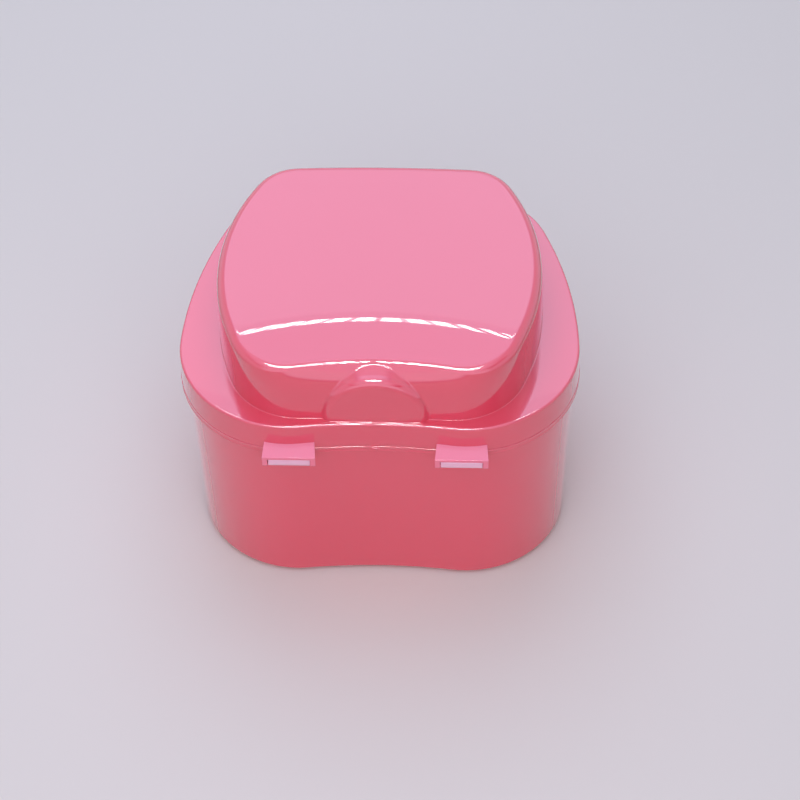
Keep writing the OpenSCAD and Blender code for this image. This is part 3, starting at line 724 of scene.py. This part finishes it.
def make_basket():
    """Basket lofted through columns, three on each slot and two between, with the slots left open."""
    base, inward = closed(rim_s)
    wall = base + inward * (BASKET_IN + BASKET_T / 2)
    steps = np.linalg.norm(np.roll(wall, -1, 0) - wall, axis=1)
    where = np.concatenate([[0], np.cumsum(steps)])
    total = where[-1]
    marks = rim_marks()[1::2]
    nearest = []
    for m in marks:
        k = int(np.argmin(np.linalg.norm(base - m, axis=1)))
        nearest.append(where[k])
    nearest = sorted(nearest)
    cols, is_slot = [], []
    for i, c in enumerate(nearest):
        following = nearest[(i + 1) % len(nearest)] + (total if i + 1 == len(nearest) else 0)
        gap = following - c - SLOT_W
        cols += [c - SLOT_W / 2, c]
        is_slot += [True, True]
        cols += [c + SLOT_W / 2 + gap * f for f in (0, 1 / 3, 2 / 3)]
        is_slot += [False] * 3
    cols = np.array(cols) % total
    xs = np.append(where[:-1], total)
    closed_base = np.vstack([base, base[:1]])
    closed_in = np.vstack([inward, inward[:1]])
    b = np.stack([np.interp(cols, xs, closed_base[:, k]) for k in (0, 1)], 1)
    d = unit(np.stack([np.interp(cols, xs, closed_in[:, k]) for k in (0, 1)], 1))
    s = Section(b, d)
    n = len(cols)

    low_in = BASKET_IN + BASKET_LEAN
    slots_low = BASKET_LOW + BASKET_R + 1
    row_h = (FLANGE_LOW - slots_low - SLOT_BAND * SLOT_ROWS) / SLOT_ROWS
    levels = [slots_low + i * (row_h + SLOT_BAND) for i in range(SLOT_ROWS)]
    wall_h = FLANGE_LOW - BASKET_LOW - BASKET_R
    inset_at = lambda z: BASKET_IN + BASKET_LEAN * (FLANGE_LOW - z) / wall_h
    wall_n = lean(-BASKET_LEAN, wall_h)
    wall_zs = []
    for z in levels:
        wall_zs += [z, z + row_h / 2, z + row_h]
    points = [(low_in + BASKET_R + 9, BASKET_LOW), (low_in + BASKET_R + 3, BASKET_LOW)]
    points += rounded((inset_at(BASKET_LOW), BASKET_LOW), DOWN, wall_n, BASKET_R, 7)
    first_wall = len(points)
    points += [(inset_at(z), z) for z in wall_zs]
    points += rounded((BASKET_IN, FLANGE_LOW), wall_n, DOWN, -FLANGE_FILLET_R, 3)
    points += rounded((FLANGE_IN, FLANGE_LOW), DOWN, OUT, FLANGE_LOW_R, 2)
    points += rounded((FLANGE_IN, FLANGE_TOP), OUT, UP, FLANGE_TOP_R, 4)
    points += rounded((BASKET_IN + BASKET_T, FLANGE_TOP), UP, -wall_n, FLANGE_IN_R, 4)
    inner_wall = len(points)
    points += [(inset_at(z) + BASKET_T, z) for z in reversed(wall_zs)]
    points += rounded((inset_at(BASKET_LOW + BASKET_T) + BASKET_T, BASKET_LOW + BASKET_T),
                      -wall_n, UP, -(BASKET_R - BASKET_T), 6)
    points += [(low_in + BASKET_R + reach, BASKET_LOW + BASKET_T) for reach in (3, 9)]
    rings = []
    for p in points:
        p = np.atleast_2d(p)
        rings.append(s.at(p[0, 0], p[0, 1]))
    skip, bridges = set(), []
    at = lambda k, i: 1 + k * n + i % n
    count_wall = len(wall_zs)
    inner_of = lambda k: inner_wall + count_wall - 1 - (k - first_wall)
    for row in range(SLOT_ROWS):
        k0 = first_wall + 3 * row
        for i in range(n):
            if not is_slot[i]:
                continue
            for k in (k0, k0 + 1):
                skip.add((k, i))
                skip.add((inner_of(k) - 1, i))
            bridges.append((at(k0, i), at(k0, i + 1), at(inner_of(k0), i + 1), at(inner_of(k0), i)))
            k2 = k0 + 2
            bridges.append((at(k2, i), at(inner_of(k2), i), at(inner_of(k2), i + 1), at(k2, i + 1)))
            if not is_slot[i - 1]:
                for k in (k0, k0 + 1):
                    bridges.append((at(k, i), at(inner_of(k), i), at(inner_of(k + 1), i), at(k + 1, i)))
            if not is_slot[(i + 1) % n]:
                for k in (k0, k0 + 1):
                    j = i + 1
                    bridges.append((at(k, j), at(k + 1, j), at(inner_of(k + 1), j), at(inner_of(k), j)))
    obj = loft("strainer_basket", rings, (0, -4, BASKET_LOW), (0, -4, BASKET_LOW + BASKET_T), skip)
    mesh = obj.data
    points = np.array([v.co[:] for v in mesh.vertices])
    faces = [tuple(p.vertices) for p in mesh.polygons] + bridges
    new = bpy.data.meshes.new("strainer_basket")
    new.from_pydata(points.tolist(), [], faces)
    new.update()
    obj.data = new
    clean(obj, 0.002)
    bars = []
    for i in range(-3, 4):
        x, r = FLOOR_SLOT_PITCH * i, SLOT_W / 2
        reach = FLOOR_SLOT_REACH[abs(i)] - r
        outline = [(x + r * math.cos(t), reach + r * math.sin(t)) for t in np.linspace(0, math.pi, 12)]
        outline += [(x + r * math.cos(t), r * math.sin(t) - reach)
                    for t in np.linspace(math.pi, 2 * math.pi, 12)]
        bars.append(prism("bar", outline, xy, (BASKET_LOW - 1, BASKET_LOW + BASKET_T + 1)))
    cut(obj, join("bars", bars))
    obj.data.polygons.foreach_set("use_smooth", [True] * len(obj.data.polygons))
    sharpen(obj, 40)
    return weigh(obj)


def make_grip():
    """Half-round grip that stands in the half-moon's pocket, and the ridges on it."""
    grip_r = MOON_R - MOON_WALL - GRIP_GAP
    y0 = float(rim.hollow(0.0)) + FLANGE_IN + GRIP_SET_BACK
    outline = [(-grip_r, FLANGE_TOP - 0.3), (grip_r, FLANGE_TOP - 0.3)]
    outline += [(grip_r * math.cos(t), MOON_Z + grip_r * math.sin(t))
                for t in np.linspace(0, math.pi, 60)]
    plate = prism("basket_grip", outline, xz, (y0, y0 + GRIP_T))
    bevel(plate, GRIP_EDGE_R, 4, 40)
    ridges = []
    half = grip_r / 2
    for i in range(RIDGE_COUNT):
        z = MOON_Z + RIDGE_PITCH * i
        out = [(-half, z), (half, z), (half, z + RIDGE_H), (-half, z + RIDGE_H)]
        r = prism("grip_ridge_%d" % (i + 1), out, xz, (y0 + GRIP_T - 0.3, y0 + GRIP_T + RIDGE_OUT))
        bevel(r, RIDGE_EDGE_R, 3, 40)
        ridges.append(r)
    return plate, ridges


def make_ribs():
    """Upright ribs on the cup's wall that keep the basket in the middle."""
    ribs = []
    marks = rim_marks()
    section_base, section_in = closed(rim_s)
    number = 0
    for i in RIB_MARKS:
        for j in (i, len(marks) - i):
            p = marks[j]
            k = int(np.argmin(np.linalg.norm(section_base - p, axis=1)))
            d = unit(section_in[k])
            side = np.array([-d[1], d[0]])
            a, b = WALL_IN_LOW + 0.5, FLANGE_IN + RIB_REACH
            outline = [p + d * a - side * RIB_W / 2, p + d * b - side * RIB_W / 2,
                       p + d * b + side * RIB_W / 2, p + d * a + side * RIB_W / 2]
            number += 1
            r = prism("basket_rib_%d" % number, outline, xy, (FLOOR_TOP - 0.4, RIB_TOP))
            ribs.append(bevel(r, RIB_EDGE_R, 3, 40))
    return ribs


def make_nib():
    """Small crescent on the band, in the middle between the hinges."""
    y = float(rim.hollow(0.0)) - FLARE
    outline = [(NIB_HALF_W * math.cos(t), BAND_TOP - 0.1 - NIB_H * math.sin(t))
               for t in np.linspace(0, math.pi, 16)]
    nib = prism("band_nib", outline, xz, (y - NIB_OUT, y + 0.5))
    return bevel(nib, NIB_EDGE_R, 3, 40)


# materials
PLASTIC_IOR, SKIN_IOR, SKIN_ROUGHNESS = 1.59, 1.6, 0.02


def nodes_of(name):
    m = bpy.data.materials.new(name)
    m.use_nodes = True
    t = m.node_tree
    t.nodes.clear()
    out = t.nodes.new("ShaderNodeOutputMaterial")
    return m, t, out


def plastic(name, low, high, rough, wave, subsurface):
    """Glossy moulded plastic with a clear skin: slow colour drift, faint haze, soft waviness."""
    m, t, out = nodes_of(name)
    n, link = t.nodes.new, t.links.new
    bsdf = n("ShaderNodeBsdfPrincipled")
    coord = n("ShaderNodeTexCoord")
    drift = n("ShaderNodeTexNoise")
    drift.inputs["Scale"].default_value = 22
    drift.inputs["Detail"].default_value = 3
    colour = n("ShaderNodeMix")
    colour.data_type = "RGBA"
    colour.inputs[6].default_value = (*low, 1)
    colour.inputs[7].default_value = (*high, 1)
    haze = n("ShaderNodeTexNoise")
    haze.inputs["Scale"].default_value = 160
    haze.inputs["Detail"].default_value = 6
    haze.inputs["Roughness"].default_value = 0.7
    to_rough = n("ShaderNodeMapRange")
    to_rough.inputs["From Min"].default_value = 0.3
    to_rough.inputs["From Max"].default_value = 0.75
    to_rough.inputs["To Min"].default_value = rough[0]
    to_rough.inputs["To Max"].default_value = rough[1]
    ripple = n("ShaderNodeTexNoise")
    ripple.inputs["Scale"].default_value = 130
    ripple.inputs["Detail"].default_value = 1
    bump = n("ShaderNodeBump")
    bump.inputs["Strength"].default_value = 1.0
    bump.inputs["Distance"].default_value = wave * MM
    link(coord.outputs["Object"], drift.inputs["Vector"])
    link(coord.outputs["Object"], haze.inputs["Vector"])
    link(coord.outputs["Object"], ripple.inputs["Vector"])
    link(drift.outputs["Fac"], colour.inputs[0])
    link(colour.outputs[2], bsdf.inputs["Base Color"])
    link(haze.outputs["Fac"], to_rough.inputs["Value"])
    link(to_rough.outputs["Result"], bsdf.inputs["Roughness"])
    link(ripple.outputs["Fac"], bump.inputs["Height"])
    link(bump.outputs["Normal"], bsdf.inputs["Normal"])
    bsdf.inputs["IOR"].default_value = PLASTIC_IOR
    bsdf.inputs["Coat Weight"].default_value = 1.0
    bsdf.inputs["Coat IOR"].default_value = SKIN_IOR
    bsdf.inputs["Coat Roughness"].default_value = SKIN_ROUGHNESS
    bsdf.inputs["Subsurface Weight"].default_value = subsurface
    bsdf.inputs["Subsurface Radius"].default_value = (1.0, 0.35, 0.4)
    bsdf.inputs["Subsurface Scale"].default_value = 2.0 * MM
    link(bsdf.outputs[0], out.inputs[0])
    return m


pink = plastic("pink_plastic", (0.76, 0.055, 0.092), (0.80, 0.065, 0.106), (0.015, 0.04), 0.006, 0.05)
# Painted light: a lighter copy of the pink plastic for the hinge brackets, standing in for the light
# that their thin walls catch and let through.
painted_lit_pink = plastic("painted_lit_pink_plastic", (0.88, 0.155, 0.235), (0.91, 0.175, 0.26), (0.02, 0.05), 0.006, 0.05)
pale = plastic("pale_pink_plastic", (0.86, 0.46, 0.56), (0.90, 0.50, 0.60), (0.1, 0.16), 0.01, 0.1)
white = plastic("white_plastic", (0.78, 0.77, 0.79), (0.84, 0.83, 0.85), (0.15, 0.3), 0.01, 0.1)


def finish(obj, material, body, replaces=None):
    """Gives a piece its material and body, and hides the CAD node that it stands for."""
    obj.data.materials.clear()
    obj.data.materials.append(material)
    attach(obj, body)
    if replaces:
        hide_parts(replaces)
    return obj


finish(make_cup(), pink, "cup", "cup")
finish(make_lid(), pink, "lid", "lid")
finish(make_basket(), white, "basket", "strainer_basket")
plate, ridges = make_grip()
finish(plate, white, "basket")
for r in ridges:
    finish(r, white, "basket")
for name, side in (("left", -1), ("right", 1)):
    body, pin = make_bracket("hinge_bracket_" + name, side)
    # the brackets take the pink plastic made lighter, as painted light
    finish(body, painted_lit_pink, "lid")
    finish(pin, pink, "lid")
    finish(make_knuckle("hinge_knuckle_" + name, side), pale, "cup")
for r in make_ribs():
    finish(r, pink, "cup")
finish(make_lip(), pink, "lid")
finish(make_nib(), pink, "cup")

# camera
IMAGE = 800.0
FOCAL_PX = 2400.0
ELEVATION, AZIMUTH, ROLL = 47.92, -3.01, 1.47
DISTANCE = 569.79
PAN_X, PAN_UP = 3.83, -11.56
PLAN_Y, AIM_Z = 3.08 - SHIFT_Y, 40.0

el, az, roll = (math.radians(a) for a in (ELEVATION, AZIMUTH, ROLL))
right = Vector((1, 0, 0))
up = Vector((0, math.sin(el), math.cos(el)))
ahead = Vector((0, math.cos(el), -math.sin(el)))
turn = Matrix.Rotation(-az, 3, "Z")
axis_x = turn @ (right * math.cos(roll) - up * math.sin(roll))
axis_y = turn @ (right * math.sin(roll) + up * math.cos(roll))
axis_z = turn @ -ahead
place = turn @ (right * PAN_X + up * PAN_UP - ahead * DISTANCE) - Vector((0, PLAN_Y, -AIM_Z))
camera_data = bpy.data.cameras.new("camera")
camera = bpy.data.objects.new("camera", camera_data)
bpy.context.scene.collection.objects.link(camera)
camera_data.sensor_width = 36
camera_data.sensor_fit = "HORIZONTAL"
camera_data.lens = 36 * FOCAL_PX / IMAGE
camera_data.clip_start = 0.01
world_matrix = Matrix((axis_x, axis_y, axis_z)).transposed().to_4x4()
world_matrix.translation = place * MM
camera.matrix_world = world_matrix
bpy.context.scene.camera = camera


# stage and light, in metres
FLOOR_SIZE = 6.0
ROOM_X, ROOM_FRONT, ROOM_BACK = 0.6, -0.8, 0.9
ROOF_Z, LED_Z = 0.5, 0.498
LED_MIDDLE_X, LED_CENTRE, LED_SIDE_SHARE = -0.03, 4, 0.62
FADE_FROM, FRONT_FULL, FRONT_LEAST = 0.42, 0.36, 0.3
SIDE_TINT, SIDE_GLOW = (0.85, 0.82, 1.0), 1.15
FRONT_TINT, FRONT_GLOW = (0.82, 0.80, 1.0), 1.8
WORLD_TINT, WORLD_GLOW = (1.0, 0.98, 1.0, 1), 0.17
FLOOR_COLOUR = (0.725, 0.71, 0.595)

# name, x range, y range, tint, strength and the share of it that is left at the panel's edge
ROOF_PANELS = (
    ("roof_back", -0.36, 0.26, 0.35, 0.64, (0.71, 0.72, 1.0), 2.75, 0.42),
    ("roof_mid", -0.36, 0.26, 0.06, 0.35, (0.67, 0.71, 1.0), 2.6, 0.42),
    ("roof_top", -0.36, 0.26, -0.2, 0.06, (0.78, 0.75, 1.0), 1.8, 0.64),
    ("roof_front", -0.6, 0.5, -0.8, -0.2, (0.82, 0.77, 1.0), 1.75, 0.3))
# panels and walls that are reflected but light no matt surface
ROOF_RESTS = (
    ("roof_left", -ROOM_X, -0.36, -0.2, 0.64),
    ("roof_right", 0.26, ROOM_X, -0.2, 0.64),
    ("roof_end", -ROOM_X, ROOM_X, 0.64, ROOM_BACK))
# name, y range, strength, spacing, strip width and count
LED_ROWS = (
    ("led_back", 0.250, 0.284, 16.0, 0.007, 0.0052, 36),
    ("led_row_1", -0.172, -0.117, 42.0, 0.0105, 0.006, 24),
    ("led_row_2", -0.257, -0.202, 42.0, 0.0105, 0.006, 24))
WALLS = (
    ("left_wall", (-ROOM_X, ROOM_FRONT), (-ROOM_X, ROOM_BACK)),
    ("right_wall", (ROOM_X, ROOM_FRONT), (ROOM_X, ROOM_BACK)),
    ("back_wall", (-ROOM_X, ROOM_BACK), (ROOM_X, ROOM_BACK)))


def matte(name, colour):
    m, t, out = nodes_of(name)
    b = t.nodes.new("ShaderNodeBsdfPrincipled")
    b.inputs["Base Color"].default_value = (*colour, 1)
    b.inputs["Roughness"].default_value = 0.9
    t.links.new(b.outputs[0], out.inputs[0])
    return m


def glow(name, colour, strength):
    m, t, out = nodes_of(name)
    e = t.nodes.new("ShaderNodeEmission")
    e.inputs["Color"].default_value = (*colour, 1)
    e.inputs["Strength"].default_value = strength
    t.links.new(e.outputs[0], out.inputs[0])
    return m


def fading(name, colour, strength, axis, middle, full, gone, least):
    """Glow that fades along one axis: full near the middle, then down to its least share."""
    m, t, out = nodes_of(name)
    n, link = t.nodes.new, t.links.new
    coord, parts = n("ShaderNodeTexCoord"), n("ShaderNodeSeparateXYZ")
    away, span = n("ShaderNodeMath"), n("ShaderNodeMath")
    away.operation, span.operation = "SUBTRACT", "ABSOLUTE"
    away.inputs[1].default_value = middle
    fade = n("ShaderNodeMapRange")
    fade.interpolation_type = "SMOOTHSTEP"
    fade.inputs["From Min"].default_value = full
    fade.inputs["From Max"].default_value = gone
    fade.inputs["To Min"].default_value = strength
    fade.inputs["To Max"].default_value = strength * least
    e = n("ShaderNodeEmission")
    e.inputs["Color"].default_value = (*colour, 1)
    link(coord.outputs["Object"], parts.inputs[0])
    link(parts.outputs[axis], away.inputs[0])
    link(away.outputs[0], span.inputs[0])
    link(span.outputs[0], fade.inputs["Value"])
    link(fade.outputs["Result"], e.inputs["Strength"])
    link(e.outputs[0], out.inputs[0])
    return m


def level(x0, x1, y0, y1, z):
    return [(x0, y0, z), (x0, y1, z), (x1, y1, z), (x1, y0, z)]


def upright(a, b):
    """Wall from the floor to the roof between two plan points."""
    return [(*a, 0.0), (*b, 0.0), (*b, ROOF_Z), (*a, ROOF_Z)]


def staged(name, rectangles, material):
    """Stage mesh of separate rectangles, each given by its four corners."""
    mesh = bpy.data.meshes.new(name)
    points = [c for r in rectangles for c in r]
    mesh.from_pydata(points, [], [tuple(range(4 * i, 4 * i + 4)) for i in range(len(rectangles))])
    mesh.materials.append(material)
    obj = bpy.data.objects.new(name, mesh)
    bpy.context.scene.collection.objects.link(obj)
    return obj


def led_row(name, y0, y1, strength, pitch, width, count):
    """Row of small bright strips across the roof, narrower away from its middle."""
    leds = []
    for i in range(count):
        away = (i - (count - 1) / 2) * pitch
        x = away + LED_MIDDLE_X
        w = width if abs(away) < LED_CENTRE * pitch else LED_SIDE_SHARE * width
        leds.append(level(x - w / 2, x + w / 2, y0, y1, LED_Z))
    row = staged(name, leds, glow(name, (1, 1, 1), strength))
    row.visible_diffuse = False
    return row


floor_half = FLOOR_SIZE / 2
staged("floor", [[(-floor_half, -floor_half, 0), (floor_half, -floor_half, 0),
                  (floor_half, floor_half, 0), (-floor_half, floor_half, 0)]],
       matte("tent_floor", FLOOR_COLOUR))
for name, x0, x1, y0, y1, tint, strength, least in ROOF_PANELS:
    half = (x1 - x0) / 2
    staged(name, [level(x0, x1, y0, y1, ROOF_Z)],
           fading(name, tint, strength, "X", (x0 + x1) / 2, FADE_FROM * half, half, least))
staged("front_wall", [upright((-ROOM_X, ROOM_FRONT), (ROOM_X, ROOM_FRONT))],
       fading("front_wall", FRONT_TINT, FRONT_GLOW, "Z", ROOF_Z, FRONT_FULL, ROOF_Z, FRONT_LEAST))
for name, a, b in WALLS:
    wall = staged(name, [upright(a, b)], glow(name, SIDE_TINT, SIDE_GLOW))
    wall.visible_diffuse = False
for name, x0, x1, y0, y1 in ROOF_RESTS:
    panel = staged(name, [level(x0, x1, y0, y1, ROOF_Z)], glow(name, SIDE_TINT, SIDE_GLOW))
    panel.visible_diffuse = False
for row in LED_ROWS:
    led_row(*row)

world = bpy.data.worlds.new("tent")
bpy.context.scene.world = world
world.use_nodes = True
world.node_tree.nodes["Background"].inputs[0].default_value = WORLD_TINT
world.node_tree.nodes["Background"].inputs[1].default_value = WORLD_GLOW

bpy.context.scene.view_settings.view_transform = "Standard"
